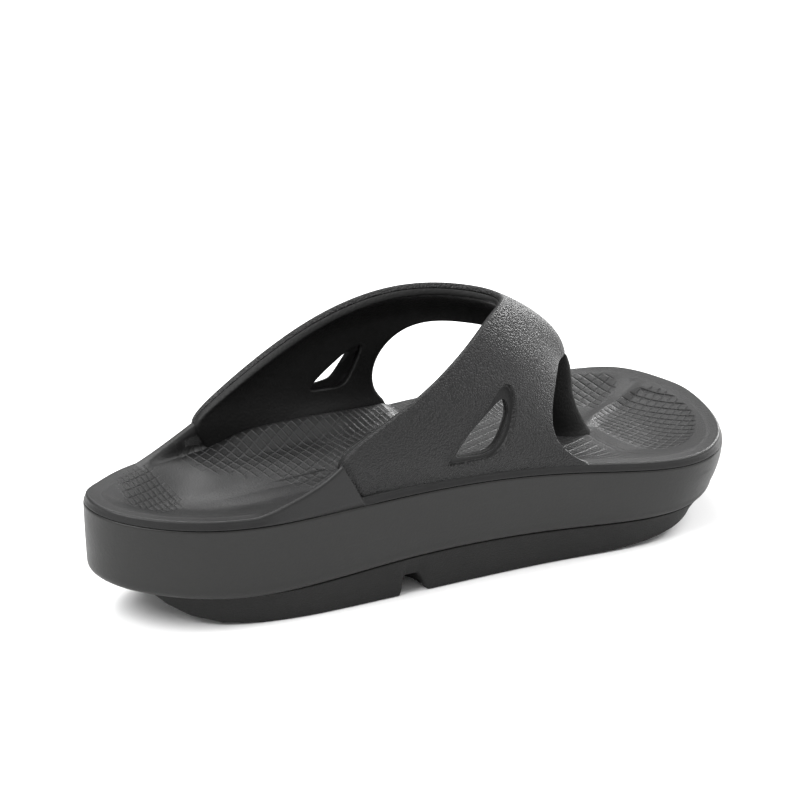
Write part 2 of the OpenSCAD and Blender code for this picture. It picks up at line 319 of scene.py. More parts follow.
# %% [markdown]
# ## The sole's outline and its heights
# Seen from above a sole is one closed curve: a round heel, a waist under the arch, and a wide toe.
# Seen from the side it is three lines: the groove under the footbed's rim, the joint between midsole
# and outsole, and the ground. The pieces below all share these, so they meet without gaps.
# Each loop starts at the heel and comes back to it, and a point and its mirror partner sit across
# the foot from each other, which lets a loop shrink to a spine down the middle of the foot. The dish is
# steep near the rim, but on the arch's inner side it falls away slowly, and that makes the arch support.
# %% Outline and height lines
OUTLINE = [(-142.5, 6), (-138.5, -15), (-112, -35), (-73.5, -43), (-27, -45),
           (17.5, -46), (57.5, -49), (98, -52), (124, -39), (137.5, -16),
           (142.5, 12), (138.5, 30), (124, 49), (92, 52.5), (57.5, 48.5),
           (17.5, 41), (-27.5, 35), (-72.5, 36), (-113, 28), (-133, 16.5)]
RIM_LINE = [47.4, 44.2, 45.4, 42.8, 35.7, 31.4]
TREAD_LINE = [18.2, 13.6, 16.8, 16.2, 13.4, 16.5]
RIM_HEIGHT = 4.0
RIM_LEAN = 1.5
RIM_BAND = 7.5
RIM_FALL = 0.7
HEEL_DISH, TOE_DISH = 8.0, 6.0
DISH_RUN_OUT = 25.0
ARCH_RUN_OUT = 38.0
BEND_REACH = 40


class Sole:
    """Loops round the sole, each with an even number of points paired across the foot."""

    def __init__(self, points):
        half = points // 2
        fine = smooth(OUTLINE, np.linspace(0, len(OUTLINE), 4001)[:-1], closed=True)
        sides = []
        for side in (fine[:2001], np.vstack([fine[2000:], fine[:1]])[::-1]):
            run = np.concatenate([[0], np.cumsum(np.linalg.norm(np.diff(side, axis=0), axis=1))])
            at = (np.arange(half) + 0.5) / half * run[-1]
            sides.append(np.column_stack([np.interp(at, run, side[:, k]) for k in (0, 1)]))
        self.edge = np.vstack([sides[0], sides[1][::-1]])
        along = np.roll(self.edge, -1, 0) - np.roll(self.edge, 1, 0)
        self.inward = np.column_stack([-along[:, 1], along[:, 0]])
        self.inward /= np.linalg.norm(self.inward, axis=1)[:, None]
        step_length = np.linalg.norm(along, axis=1) / 2
        turn = np.arcsin(np.cross(self.inward, np.roll(self.inward, -1, 0)))
        radius = step_length / np.maximum(turn, 1e-4)
        nearby = (np.arange(points)[:, None] + np.arange(-BEND_REACH, BEND_REACH + 1)) % points
        self.most_inset = 0.8 * radius[nearby].min(1)[nearby].mean(1)
        band = self.inset(RIM_BAND)
        self.spine = (band + band[::-1]) / 2
        self.band = band

    def inset(self, amount):
        """The outline moved in, but never past the centre of its own tightest bend nearby."""
        return self.edge + self.inward * np.minimum(amount, self.most_inset)[:, None]

    def towards_spine(self, share):
        return self.band + (self.spine - self.band) * share


def line_height(line, x):
    share = np.clip(np.asarray(x, float) / SOLE_LENGTH + 0.5, 0, 1)
    return smooth(line, share.ravel() * (len(line) - 1)).reshape(share.shape)


def rim_z(x):
    return line_height(RIM_LINE, x)


def tread_z(x):
    return line_height(TREAD_LINE, x)


def lifted(loop, z):
    return np.column_stack([loop, np.broadcast_to(z, len(loop))])


sole = Sole(960)
print(f"tightest bend allows {sole.most_inset.min():.1f} mm of inset")
print(f"outline {np.ptp(sole.edge[:, 0]):.1f} x {np.ptp(sole.edge[:, 1]):.1f} mm")

# %% [markdown]
# ## The footbed
# The footbed is the layer under the foot. A mould presses everything into it at once: the rim band, the
# dish, the roots that rise to carry the strap, a crease under the toes, two shallow toe pads and a
# net of grooves. It could be sculpted by hand, but each of these is a simple rule of where a point lies,
# so the height of every point is worked out from the rules, on a mesh fine enough to hold them.
# %% Where the footbed rises and dips
ROOTS = {"outer": dict(low=-89.0, crest=-52.9, height=15.4, bend=1.35, wall=2.6, run=6.0),
         "inner": dict(low=-112.0, crest=-80.5, height=12.1, bend=1.25, wall=4.6, run=4.0)}
CREASE_LEAN = 8.2
BANK_HEIGHT = 4.5
INNER_RIM_DROP = 2.6
PADS = {"toes": [(89, 0), (90, 9), (96, 15), (103, 20), (111, 24), (121, 27), (129, 25), (132.5, 18),
                 (132.5, 7), (130.5, -7), (124, -19), (116, -28), (108, -32), (101, -29), (95, -21),
                 (91, -10)],
        "big_toe": [(95, 24), (99, 22), (108, 28), (116, 33), (119, 38), (116, 43), (107, 46), (97, 46),
                    (88, 44), (84, 36), (87, 28)]}
HEEL_NET = [(-127, 4), (-126, 14), (-121, 20), (-112, 24), (-106, 21), (-103, 10), (-102, 1),
            (-109, -9), (-117, -12), (-123, -5)]
ARCH_NET = [(-97, 29), (-93, 24), (-89, 15), (-81, 10), (-71, 5), (-59, -2), (-50, -14), (-28, -25),
            (0, -34), (30, -38), (60, -41), (84, -38), (82, -24), (79, -8), (73, 2), (66, 22),
            (60, 40), (30, 39), (0, 36), (-30, 32), (-62, 33), (-84, 32)]
PAD_DEPTH = 0.5
TOE_CREASE_DEPTH, TOE_CREASE_WIDTH = 0.7, 0.7
PAD_RIDGE_HEIGHT, PAD_RIDGE_WIDTH = 0.7, 3.2
TOE_CREASE = [(81, 5), (82, -6), (83.5, -15), (86, -24), (89, -31), (92, -36)]
PAD_RIDGE = [(80, 3), (97, 15.5), (113, 25.5), (124, 31)]


def distance_to(path, xy, closed=True):
    """Distance from each point to a path; negative inside a closed one."""
    a = np.asarray(path, float)
    b = np.roll(a, -1, 0)
    if not closed:
        a, b = a[:-1], b[:-1]
    best = np.full(len(xy), 1e9)
    inside = np.zeros(len(xy), bool)
    for p, q in zip(a, b):
        d = q - p
        t = np.clip(((xy - p) @ d) / (d @ d), 0, 1)
        best = np.minimum(best, np.hypot(*(xy - p - t[:, None] * d).T))
        crosses = (p[1] > xy[:, 1]) != (q[1] > xy[:, 1])
        reach = p[0] + (xy[:, 1] - p[1]) * d[0] / (d[1] if d[1] else 1e-9)
        inside ^= crosses & (xy[:, 0] < reach)
    return np.where(inside & closed, -best, best)


def rounded(points, count=80):
    return smooth(points, np.linspace(0, len(points), count, endpoint=False), closed=True)


def sole_depth(xy):
    """True distance in from the sole's edge."""
    return -distance_to(sole.edge[::4], xy)


def root_rise(loop, from_edge):
    """How far the roots and the bank under the inner strap lift the bed, by the distance from the edge."""
    rise = np.zeros(len(loop))
    for side, root in ROOTS.items():
        here = loop[:, 1] < 0 if side == "outer" else loop[:, 1] > 0
        u = np.clip((loop[:, 0] - root["low"]) / (root["crest"] - root["low"]), 0, 1)
        fairing = 26 * step(4, 6.5, from_edge)
        ends = 1 - step(0, 1, (loop[:, 0] - root["crest"]) / (0.5 + fairing))
        wall = 1 - step(root["wall"], root["wall"] + root["run"] - 2 * u, from_edge)
        rise += here * ends * wall * root["height"] * u ** root["bend"]
    x = loop[:, 0]
    bank = BANK_HEIGHT * step(-84, -58, x) * (1 - 0.5 * step(-40, 0, x)) * (1 - step(-1, 9, x))
    bank *= step(5, 6.6, from_edge) * (1 - step(7, 19, from_edge)) * (loop[:, 1] > 0)
    return np.maximum(rise, bank)


def lean_crease(loop):
    """Leans the outer root's end, so that it follows the strap's rear edge down to the rim."""
    near = step(-80, -54, loop[:, 0]) * (1 - step(-51, -38, loop[:, 0])) * (loop[:, 1] < 0)
    height = np.clip((loop[:, 2] - rim_z(loop[:, 0]) - 2) / 17, 0, 1)
    return loop + (CREASE_LEAN * near * (1 - height))[:, None] * [1, 0, 0]


def inner_drop(loop):
    """The rim dies away in front of the strap on the big toe's side."""
    x, y = loop[:, 0], loop[:, 1]
    return INNER_RIM_DROP * step(0, 9, x) * (1 - step(26, 62, x)) * step(10, 30, y)


def bed_relief(xy):
    """The crease under the toes, the ridge between the toe pads and the pads themselves."""
    relief = np.zeros(len(xy))
    for pad in PADS.values():
        relief -= PAD_DEPTH * (1 - step(-4.0, 0.8, distance_to(rounded(pad), xy)))
    crease = distance_to(smooth(TOE_CREASE, np.linspace(0, 5, 40)), xy, closed=False)
    fade = 0.3 + 0.7 * step(-36, -22, xy[:, 1])
    relief -= TOE_CREASE_DEPTH * np.exp(-((crease / TOE_CREASE_WIDTH) ** 2)) * fade
    ridge = distance_to(smooth(PAD_RIDGE, np.linspace(0, 3, 40)), xy, closed=False)
    relief += PAD_RIDGE_HEIGHT * np.exp(-((ridge / PAD_RIDGE_WIDTH) ** 2)) * step(78, 86, xy[:, 0])
    return relief


# %% [markdown]
# The rows of the mesh run from the spine out to the rim, over its rounded edge, down to the groove and
# back under the bed, which lies in the midsole and is never seen. The groove at the foot of the rim is
# what draws the fine dark line round the whole sandal.
# %% Build the footbed
BED_ROWS = 76
BED_THICKNESS = 6.0
GROOVE_DEPTH = 0.6
GROOVE_FLOOR, GROOVE_LIP = 0.45, 0.85


def bed_row(share):
    loop = sole.towards_spine(share)
    depth = HEEL_DISH + (TOE_DISH - HEEL_DISH) * np.clip(loop[:, 0] / SOLE_LENGTH + 0.5, 0, 1)
    from_edge = sole_depth(loop)
    t = np.clip((from_edge - RIM_BAND) / DISH_RUN_OUT, 0, 1)
    dish = 0.5 * (1 - (1 - t) ** 2) + 0.5 * step(0, 1, t)
    x, y = loop.T
    arch = step(-104, -84, x) * (1 - step(8, 34, x)) * step(-12, 12, y)
    dish = depth * (dish + (np.clip((from_edge - RIM_BAND) / ARCH_RUN_OUT, 0, 1) - dish) * arch)
    z = rim_z(loop[:, 0]) + RIM_HEIGHT - RIM_FALL - dish
    z += root_rise(loop, from_edge)
    return lifted(loop, z - inner_drop(loop) + bed_relief(loop) * step(0, 0.25, share))


def band_row(from_edge, drop):
    loop = sole.inset(from_edge)
    z = rim_z(loop[:, 0]) + RIM_HEIGHT - drop + root_rise(loop, from_edge)
    return lifted(loop, z - inner_drop(loop))


def footbed_rows():
    rows = [bed_row(s) for s in np.linspace(1, 0, BED_ROWS)]
    rows += [band_row(d, RIM_FALL * step(1.0, RIM_BAND, d)) for d in (6.8, 6.1, 5.4, 4.7, 4.0, 3.4, 2.8)]
    for angle in np.linspace(0, 90, 6):
        round_off = 1.3
        rows.append(band_row(RIM_LEAN + round_off * (1 - math.sin(math.radians(angle))) - 0.3,
                             round_off * (1 - math.cos(math.radians(angle)))))
    top = rows[-1]
    foot = lifted(sole.inset(0.45), rim_z(sole.edge[:, 0]) + GROOVE_LIP)
    for u in (0.2, 0.4, 0.6, 0.8, 1.0):
        rows.append(top + (foot - top) * u)
    rows.append(lifted(sole.inset(GROOVE_DEPTH + 0.4), rim_z(sole.edge[:, 0]) + GROOVE_FLOOR))
    rows.append(lifted(sole.inset(GROOVE_DEPTH + 1.2), rim_z(sole.edge[:, 0]) + 0.4))
    for share in (0, 0.25, 0.5, 0.75, 1):
        low = bed_row(share)
        low[:, 2] = np.minimum(low[:, 2] - BED_THICKNESS, rim_z(low[:, 0]) - 2.5 * min(1, share * 4))
        rows.append(low)
    return [lean_crease(row) for row in rows]


footbed = tidy(skin("pressed_footbed", footbed_rows()))

# %% [markdown]
# ## Grooves pressed into the footbed
# The net of grooves keeps a bare foot from slipping. Its two sets of lines cross almost squarely: deep
# ones that run across the foot and fainter ones that run forward and inward. Under the arch the same net
# stands up as fine ribs. Geometry Nodes suits it, because one rule repeats over the whole bed: each point
# moves by how near it lies to a line of either set. Numbers on the mesh say where each net is, how it is
# pressed and how its lines run, and the tree's inputs say how deep and how wide they are.
# %% Lay out and press the grooves
# Each net: its outline, the way across its deep lines in degrees, how many of them there are to a mm
# and how that changes along the way, the pitch of its faint lines, how strongly it is pressed (below
# nought its lines stand up instead, and the footbed's finish paints them lighter as painted highlight
# instead of darker as painted shade) and the run over which it fades at its border.
NETS = [(HEEL_NET, 13, 0.36, 0.0, 3.6, 0.9, 4.0), (ARCH_NET, 24, 0.36, 0.0006, 4.2, -0.6, 4.0),
        (PADS["toes"], 27, 0.634, -0.001755, 3.9, 1.0, 1.5),
        (PADS["big_toe"], 27, 0.634, -0.001755, 3.9, 1.0, 1.5)]
FAINT_WAY = math.radians(117)


def write_number(piece, name, values):
    piece.data.attributes.new(name, "FLOAT", "POINT").data.foreach_set("value", values)


def mesh_points(piece):
    points = np.empty(len(piece.data.vertices) * 3)
    piece.data.vertices.foreach_get("co", points)
    return points.reshape(-1, 3) / MM


def net_layout(points):
    """For each point: how strongly a net is pressed there, and its place across each set of lines."""
    x, y, z = points.T
    xy = points[:, :2]
    above = (z > rim_z(x) - 9) * (1 - step(3.0, 6.0, root_rise(xy, sole_depth(xy))))
    mask, strength, deep, faint = (np.zeros(len(x)) for _ in range(4))
    for outline, way, count, change, faint_pitch, press, fade in NETS:
        inside = above * (1 - step(-fade, 0.5, distance_to(rounded(outline), xy)))
        across = x * math.cos(math.radians(way)) + y * math.sin(math.radians(way))
        here = inside > mask
        deep[here] = (across * count + across ** 2 * change)[here]
        faint[here] = ((x * math.cos(FAINT_WAY) + y * math.sin(FAINT_WAY)) / faint_pitch)[here]
        strength[here] = (inside * press)[here]
        mask = np.maximum(mask, inside)
    return strength, deep, faint


def painted_wall_shade(points):
    """How far each point belongs to the wall inside the inner root, which the footbed's finish darkens as
    painted shade.
    """
    x, y, z = points.T
    depth = sole_depth(points[:, :2])
    wall = step(3.6, 5.0, depth) * (1 - step(8.0, 10.5, depth)) * (y > 0)
    return wall * step(-112, -98, x) * (1 - step(-60, -50, x)) * (z > rim_z(x) - 3)


def groove_tree():
    plan, given = shape_tree("pressed_grooves", {"Depth": 0.4, "Width": 0.22, "Faint Share": 0.7})

    def number(name):
        return plan.add("GeometryNodeInputNamedAttribute", {"data_type": "FLOAT"}, {"Name": name})[0]

    def line(name):
        near = (number(name).sum("FRACT") - 0.5).sum("ABSOLUTE") / given["Width"]
        return plan.add("ShaderNodeMapRange", {"interpolation_type": "SMOOTHSTEP"},
                        {"Value": near, "From Min": 0.0, "From Max": 1.0, "To Min": 1.0, "To Max": 0.0})[0]

    deep, faint = line("net_deep"), line("net_faint") * given["Faint Share"]
    sink = deep.sum("MAXIMUM", faint) * number("net_mask") * given["Depth"] * (-MM)
    offset = plan.add("ShaderNodeCombineXYZ", None, {"Z": sink})[0]
    moved = plan.add("GeometryNodeSetPosition", None, {"Geometry": given["Geometry"], "Offset": offset})[0]
    return plan, moved


bed_points = mesh_points(footbed)
layout = net_layout(bed_points)
write_number(footbed, "painted_wall_shade", painted_wall_shade(bed_points))
for name, values in zip(("net_mask", "net_deep", "net_faint"), layout):
    write_number(footbed, name, values)
plan, moved = groove_tree()
run_tree(footbed, plan, moved, FINISHES["footbed_foam"], {"Depth": 0.25, "Width": 0.2, "Faint Share": 0.55})
print(f"net covers {(layout[0] != 0).mean() * 100:.0f}% of the bed's points")

# %% [markdown]
# ## The midsole
# The midsole is the deep smooth wall. It is nearly upright, draws in a little towards the ground, and is
# rounded where it meets the outsole. Its top edge is rounded too, under the groove, and that small round
# catches the light as a fine bright line below the dark one.
# %% Build the midsole
TOE_START, TOE_RUN = 62.5, 80.0
SOLE_DRAW, TOE_DRAW = 2.1, 4.6


def toe_share(x):
    return np.clip((x - TOE_START) / TOE_RUN, 0, 1) ** 2


def sole_inset(x):
    return SOLE_DRAW * (0.25 + 0.75 * step(-142, -90, x)) + TOE_DRAW * toe_share(x)


def midsole_rows():
    x = sole.edge[:, 0]
    top, low = rim_z(x) + GROOVE_FLOOR, tread_z(x)
    rows = [lifted(sole.towards_spine(s), rim_z(sole.towards_spine(s)[:, 0]) - 14.5) for s in (1, 0.5, 0)]
    rows.append(lifted(sole.inset(4.0), top - 3.0))
    rows.append(lifted(sole.inset(2.0), top - 0.15))
    for angle in np.linspace(0, 90, 6):
        a = math.radians(angle)
        rows.append(lifted(sole.inset(0.3 + 0.8 * (1 - math.sin(a))), top - 0.05 - 0.8 * (1 - math.cos(a))))
    for u in np.linspace(0.05, 0.86, 18):
        rows.append(lifted(sole.inset(0.3 + sole_inset(x) * u ** 2.2), top + (low - top) * u))
    edge_u, round_off = 0.86, 1.8 + 1.6 * (1 - step(-125, -90, x))
    start_in = 0.3 + sole_inset(x) * edge_u ** 2.2
    start_z = top + (low - top) * edge_u
    for angle in np.linspace(12, 90, 8):
        a = math.radians(angle)
        rows.append(lifted(sole.inset(start_in + round_off * (1 - math.cos(a))),
                           start_z + (low - start_z) * math.sin(a)))
    rows += [lifted(sole.towards_spine(s), tread_z(sole.towards_spine(s)[:, 0])) for s in (0, 0.5, 1)]
    return rows


midsole = tidy(skin("midsole_wall", midsole_rows()))

# %% [markdown]
# ## The outsole
# The outsole is the dark layer that wears. Its heel is bevelled all round, so that the foot rolls on
# landing, its toe lifts off the ground, and one groove crosses it under the arch so that the sole can flex
# there. The rows run down its wall, round the lower edge and across the bottom to the spine.
# %% Build the outsole
SPRING_START, SPRING_RUN, TOE_SPRING = 52.5, 90.0, 15.0
GROUND_DRAW, TOE_GROUND_DRAW = 2.3, 7.6
HEEL_DRAW, HEEL_DRAW_START, HEEL_DRAW_RUN = 9.0, -62.0, 80.0
HEEL_BEVEL_X = [-132, -126, -119, -111, -100, -86]
HEEL_BEVEL_Z = [25, 15.5, 9.0, 4.5, 1.3, 0]
FLEX_X, FLEX_SKEW, FLEX_WIDTH, FLEX_DEPTH = -27.0, math.radians(8), 9.0, 8.8
FLEX_FILL = 0.7
TREAD_DEPTH = 1.4


def ground_z(x):
    return TOE_SPRING * np.clip((x - SPRING_START) / SPRING_RUN, 0, None) ** 2


def flex_lift(xy):
    """How high the arch groove lifts the bottom: most at the outer edge, and less inside it."""
    across = (xy[:, 0] - FLEX_X) * math.cos(FLEX_SKEW) + xy[:, 1] * math.sin(FLEX_SKEW)
    rear = step(-FLEX_WIDTH / 2 - 1.4, -FLEX_WIDTH / 2 + 0.4, across)
    front = 1 - step(FLEX_WIDTH / 2 - 3.0, FLEX_WIDTH / 2 + 2.6, across)
    return FLEX_DEPTH * rear * front * (1 - FLEX_FILL * step(-35, -27, xy[:, 1]))


def heel_draw(x):
    return HEEL_DRAW * np.clip((HEEL_DRAW_START - x) / HEEL_DRAW_RUN, 0, 1) ** 1.5


def under_z(xy):
    """The outsole's lowest surface: the toe spring, the arch groove and the rounded heel bevel."""
    bevel = np.interp(xy[:, 0], HEEL_BEVEL_X, HEEL_BEVEL_Z)
    return np.minimum(ground_z(xy[:, 0]) + flex_lift(xy) + bevel, tread_z(xy[:, 0]) - 0.4)


def outsole_rows():
    x = sole.edge[:, 0]
    low = tread_z(x) - 0.2
    top_in = sole_inset(x) + 0.7 + heel_draw(x)
    foot_in = top_in + 1.6 + TOE_GROUND_DRAW * toe_share(x)
    rows = [lifted(sole.towards_spine(s), tread_z(sole.towards_spine(s)[:, 0]) - 0.2) for s in (1, 0.5)]
    rows.append(lifted(sole.inset(top_in + 1.5), low))
    for u in np.linspace(0, 1, 22):
        loop = sole.inset(top_in + (foot_in - top_in) * (1 - (1 - u) ** 1.15))
        rows.append(lifted(loop, low + (under_z(loop) + 1.2 - low) * u))
    for angle in np.linspace(15, 90, 6):
        a = math.radians(angle)
        loop = sole.inset(foot_in + 1.2 * (1 - math.cos(a)))
        rows.append(lifted(loop, under_z(loop) + 1.2 * (1 - math.sin(a))))
    inner = sole.inset(foot_in + 3.0)
    rows.append(lifted(inner, under_z(inner)))
    for share in np.linspace(0.04, 1, 26):
        loop = inner + (sole.spine - inner) * share
        base = ground_z(loop[:, 0]) + TREAD_DEPTH
        rows.append(lifted(loop, np.maximum(base, under_z(loop))))
    return rows


outsole = tidy(skin("outsole_slab", outsole_rows()))

# %% [markdown]
# ## Tread lugs
# Low six-sided lugs cover the bottom inside its border. There are hundreds, all alike, so they are
# instances: a grid of points is laid out, those that lie on the tread and clear of the arch groove are
# kept and lifted along the toe spring, and Geometry Nodes puts one small lug on each, tilted with the
# spring, before turning them into real mesh.
# %% Grow the lugs
LUG_PITCH, LUG_RADIUS, LUG_CLEARANCE = 8.2, 3.7, 0.03


def lug_places():
    """Centres of the lugs: two shifted grids, kept inside the tread and clear of the arch groove."""
    row_pitch = LUG_PITCH * 3 ** 0.5
    x, y = np.meshgrid(np.arange(-120, 131, LUG_PITCH), np.arange(-50, 51, row_pitch))
    both = np.concatenate([np.column_stack([x.ravel(), y.ravel()]),
                           np.column_stack([x.ravel() + LUG_PITCH / 2, y.ravel() + row_pitch / 2])])
    edge_x = sole.edge[:, 0]
    border = sole.inset(sole_inset(edge_x) + GROUND_DRAW + TOE_GROUND_DRAW * toe_share(edge_x)
                        + heel_draw(edge_x) + 3.2 + 4.0 * toe_share(edge_x))[::8]
    inside = distance_to(border, both) < -LUG_RADIUS
    shifts = (-LUG_RADIUS, 0, LUG_RADIUS)
    raised = [under_z(both + [shift, 0]) - ground_z(both[:, 0] + shift) for shift in shifts]
    clear = np.max(raised, axis=0) < 0.4
    kept = both[inside & clear]
    run = np.clip((kept[:, 0] - SPRING_START) / SPRING_RUN, 0, None)
    slope = np.arctan(2 * TOE_SPRING * run / SPRING_RUN)
    return lifted(kept, ground_z(kept[:, 0]) + LUG_CLEARANCE), slope


def lug_tree():
    plan, given = shape_tree("tread_lugs", {"Radius": LUG_RADIUS, "Depth": TREAD_DEPTH + 0.4})
    height = given["Depth"] * MM
    lug = plan.add("GeometryNodeMeshCone", {"fill_type": "NGON"}, {
        "Vertices": 6, "Radius Top": given["Radius"] * MM, "Radius Bottom": given["Radius"] * (0.86 * MM),
        "Depth": height})["Mesh"]
    slope = plan.add("GeometryNodeInputNamedAttribute", {"data_type": "FLOAT"}, {"Name": "slope"})[0]
    turned = plan.add("ShaderNodeCombineXYZ", None, {"Y": slope * -1.0})[0]
    spread = plan.add("GeometryNodeInstanceOnPoints", None, {
        "Points": given["Geometry"], "Instance": lug, "Rotation": turned})[0]
    return plan, spread


places, slopes = lug_places()
tread = new_object("outsole_tread", places, [])
write_number(tread, "slope", slopes)
plan, lugs = lug_tree()
run_tree(tread, plan, lugs, FINISHES["outsole_rubber"], {"Radius": LUG_RADIUS, "Depth": TREAD_DEPTH + 0.4})
tidy(tread)
print(f"{len(places)} lugs")

# %% [markdown]
# ## The strap
# The strap is one broad band. It rises from the rim on both sides, and it sits further forward on the
# outer side, as the foot's own instep does. Its face is a surface between two edges, the rear one and the
# front one, with a swell between them. A smooth curve through twelve such lines carries it over the foot.
# %% The strap's face
STRAP_REAR = [(-52.5, -41.9, 65), (-23, -40, 82.3), (6, -32, 97.8), (26, -19, 105.6), (35.5, -5, 106.5),
              (25, 11.5, 106.8), (-0.5, 26, 104.3), (-36, 34.5, 90.5), (-72, 35, 69.5), (-84.5, 34, 58)]
STRAP_FRONT = [(44.3, -44, 53), (43.8, -37, 64), (53, -24, 74), (61, -13, 75), (67, -4, 75.3),
               (58, 12, 79), (37, 23.5, 84), (14, 32.5, 83.5), (1, 38, 71.2), (-1.3, 38.5, 57.3)]
STRAP_SWELL = [(0, -2.5, 0), (0, -4, 1), (0, -4, 2), (0.6, -1.6, 1.8), (1.5, 0, 1.5),
               (1, 2, 2.5), (0, 3.5, 2.5), (0, 4.5, 2), (0, 3, 1), (0, 1, 0)]
FRONT_ROLL = [(0, 0, 0)] * 3 + [(2.1, 0, 2.1), (3, 0, 3), (2.4, 0, 2.4)] + [(0, 0, 0)] * 4
OUTER_LANDING = (-44.4, 56.0)
INNER_LANDING = (-81.0, 3.0)
REAR_TUCK = 1.2
SKIN_THICKNESS, LINING_THICKNESS = 2.4, 3.0
FACE_ALONG, FACE_ACROSS = 420, 201


def landing(side, ends, tuck, w):
    """The strap's foot on the rim, at shares w from its rear end, which is tucked in, to its front end."""
    x = ends[0] + (ends[1] - ends[0]) * w
    y = np.interp(x, side[:, 0], side[:, 1]) + tuck * (1 - w) ** 4
    return np.column_stack([x, y, rim_z(x) + RIM_HEIGHT - 0.5])


def strap_face():
    w = np.linspace(0, 1, FACE_ACROSS)
    low = sole.inset(RIM_LEAN)
    half = len(low) // 2
    rear, front, swell, roll = (np.array(v, float)[:, None, :]
                                for v in (STRAP_REAR, STRAP_FRONT, STRAP_SWELL, FRONT_ROLL))
    share = w[None, :, None]
    lines = rear + (front - rear) * share + swell * 4 * share * (1 - share) + roll * share * (1 - share ** 5)
    lines = np.concatenate([landing(low[:half], OUTER_LANDING, REAR_TUCK, w)[None], lines,
                            landing(low[half:][::-1], INNER_LANDING, 0, w)[None]])
    face = smooth(lines, np.linspace(0, len(lines) - 1, FACE_ALONG))
    across = np.gradient(face, axis=1)
    along = np.gradient(face, axis=0)
    normal = np.cross(across, along)
    level = 1 - step(0, 10, np.minimum(np.arange(FACE_ALONG), np.arange(FACE_ALONG)[::-1]))
    normal[:, :, 2] *= (1 - level)[:, None]
    normal /= np.linalg.norm(normal, axis=2)[:, :, None]
    width = np.linalg.norm(np.diff(face, axis=1), axis=2).sum(1)
    return face, normal, width


face, face_normal, face_width = strap_face()
print(f"strap {face_width.min():.0f} to {face_width.max():.0f} mm wide, top at {face[:, :, 2].max():.1f} mm")

# %% [markdown]
# A layer of the strap is a tube of flat sections. Each section runs across the band on one side, round an
# edge, back on the other side and round the other edge. `layer_rows` places those points by their distance
# from the nearer edge and their depth under the face, so the edge rounds keep their size where the band
# narrows.
# %% Sections through a layer


def edge_round(radius, corner_depth, sign):
    """Points of a quarter round at an edge: distance from the edge and depth under the face."""
    turn = np.radians(np.linspace(0, 90, 5))
    inset = radius * (1 - np.sin(turn))
    depth = corner_depth + sign * radius * (1 - np.cos(turn))
    return list(zip(inset, depth))


def layer_profile(top, bottom, top_round, bottom_round, top_count, bottom_count):
    """The section's points as (distance from the rear edge, or from the front edge, share, depth)."""
    over = edge_round(top_round, top, 1)
    under = edge_round(bottom_round, bottom, -1)[::-1]
    points = [(0, top_round, s, top) for s in np.linspace(0, 1, top_count)]
    points += [(1, a, 0, d) for a, d in over[1:] + under[:-1]]
    points += [(0, bottom_round, s, bottom) for s in np.linspace(1, 0, bottom_count)]
    points += [(-1, a, 0, d) for a, d in under[::-1][1:] + over[::-1][:-1]]
    return points


def layer_rows(profile):
    places = np.linspace(0, 1, FACE_ACROSS)
    rows = np.empty((FACE_ALONG, len(profile), 3))
    for i in range(FACE_ALONG):
        width = face_width[i]
        w = np.array([1 - a / width if kind == 1 else a / width if kind == -1
                      else a / width + s * (1 - 2 * a / width) for kind, a, s, _ in profile])
        depth = np.array([d for *_, d in profile])
        for k in range(3):
            at = np.interp(w, places, face[i, :, k])
            rows[i, :, k] = at - np.interp(w, places, face_normal[i, :, k]) * depth
    return rows


# %% [markdown]
# ## Vents
# A three-cornered vent is cut through each side. On the outside the skin is sunk in a smooth frame round
# the hole. The frame is pressed into the skin's points first, by their distance from the frame's outline
# seen from the side, and then a shaped block cuts the hole through each layer. The lining's hole on the
# inner side is the larger one, so the edge of the skin shows through it.
# %% Vent outlines and frames
OUTER_VENT = [(-4, 59.6), (2, 66.4), (9, 71.5), (16.5, 75.8), (20.3, 75.6), (21.2, 70.5),
              (18, 64), (13, 58.2), (6, 56.6), (-2, 57.4)]
INNER_SKIN_VENT = [(-29.5, 63.6), (-25, 63.2), (-21, 64), (-17.4, 67.4), (-12.2, 74.8), (-13.2, 75.6),
                   (-21.5, 69.6)]
INNER_LINING_VENT = [(-31, 62.2), (-24, 60.4), (-15.5, 61), (-10.6, 67.5), (-7.4, 76.2), (-11.5, 77),
                     (-22, 70)]
VENTS = {"strap_face": {"outer": OUTER_VENT, "inner": INNER_SKIN_VENT},
         "strap_inner_foam": {"outer": OUTER_VENT, "inner": INNER_LINING_VENT}}
FRAMES = {"outer": [(-8, 57.2), (-1, 65.5), (8, 73), (19, 81.5), (24.3, 78.5), (23.6, 70),
                    (19.2, 61.3), (12.5, 55.8), (4, 54.9), (-6, 55.2)],
          "inner": [(-35, 62.5), (-25, 59.5), (-15.5, 60.3), (-10.5, 67.5), (-7.5, 76.5), (-12, 79),
                    (-24, 71.5)]}
FRAME_DEPTH, FRAME_SLOPE = 1.5, 0.75
LIP_HEIGHT, LIP_PLACE, LIP_WIDTH = 0.35, 0.55, 0.5


def outline_of(corners):
    return rounded(corners, 96)


def sink_frames(rows, profile):
    """Presses the vent frames into the outer points of the skin, with a fine lip round each."""
    outer_count = sum(1 for kind, _, _, d in profile if kind == 0 and d == 0)
    grid = rows[:, :outer_count]
    flat = grid.reshape(-1, 3)
    for side, sign in (("outer", -1), ("inner", 1)):
        near = np.sign(flat[:, 1]) == sign
        away = distance_to(outline_of(FRAMES[side]), flat[near][:, [0, 2]])
        sink = FRAME_DEPTH * (1 - step(-FRAME_SLOPE, 0.0, away))
        sink -= LIP_HEIGHT * np.exp(-(((away - LIP_PLACE) / LIP_WIDTH) ** 2))
        flat[near, 1] -= sign * sink
    rows[:, :outer_count] = flat.reshape(grid.shape)
    return rows


